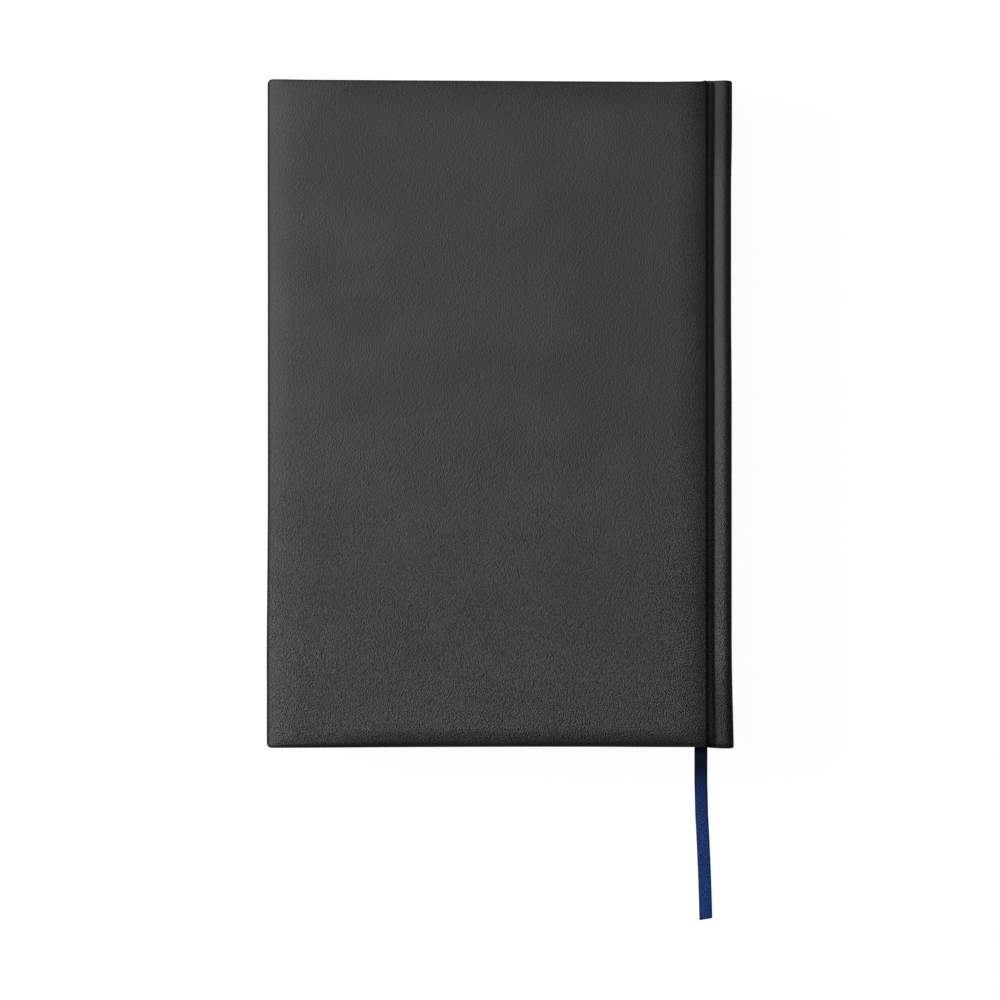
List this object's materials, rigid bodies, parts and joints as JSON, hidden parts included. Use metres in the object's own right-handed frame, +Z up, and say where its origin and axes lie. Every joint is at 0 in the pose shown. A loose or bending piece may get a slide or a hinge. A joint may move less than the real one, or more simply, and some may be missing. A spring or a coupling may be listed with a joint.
{
  "type": "diary",
  "caption": "Closed hardback diary with padded leatherette covers hinged at grooves, a flat spine, a page block and a loose ribbon marker.",
  "frame": {"origin": "on the table under the middle of the closed book, at the middle of its bounding box without the ribbon", "axes": "+Z up through the thickness of the book, which lies on its front cover; +Y from the tail to the head; +X towards the spine"},
  "size_m": [0.1504, 0.275, 0.0252],
  "materials": {
    "leatherette": "satin",
    "board": "matte",
    "foam": "matte",
    "pages": "matte",
    "endpaper": "matte",
    "lining_paper": "matte",
    "gauze": "matte",
    "band_cloth": "satin",
    "ribbon": "satin"
  },
  "bodies": {
    "book_block": {"page_block": "pages", "back_flyleaf": "endpaper", "front_flyleaf": "endpaper", "spine_mull": "gauze", "spine_lining": "lining_paper", "head_band": "band_cloth", "tail_band": "band_cloth", "ribbon_bookmark": "ribbon", "spine_board": "board", "spine_leatherette": "leatherette"},
    "back_cover": {"back_cover_board": "board", "back_cover_foam": "foam", "back_cover_leatherette": "leatherette", "back_mull_flange": "gauze", "back_pastedown": "endpaper"},
    "front_cover": {"front_cover_board": "board", "front_cover_foam": "foam", "front_cover_leatherette": "leatherette", "front_mull_flange": "gauze", "front_pastedown": "endpaper"}
  },
  "joints": [
    {"name": "back_cover_hinge", "type": "hinge", "parent": "book_block", "child": "back_cover", "pos_m": [0.0718, 0, 0.0201], "axis": [0, 1, 0], "range_deg": [0, 178]},
    {"name": "front_cover_hinge", "type": "hinge", "parent": "book_block", "child": "front_cover", "pos_m": [0.0718, 0, 0.0051], "axis": [0, -1, 0], "range_deg": [0, 178]}
  ]
}
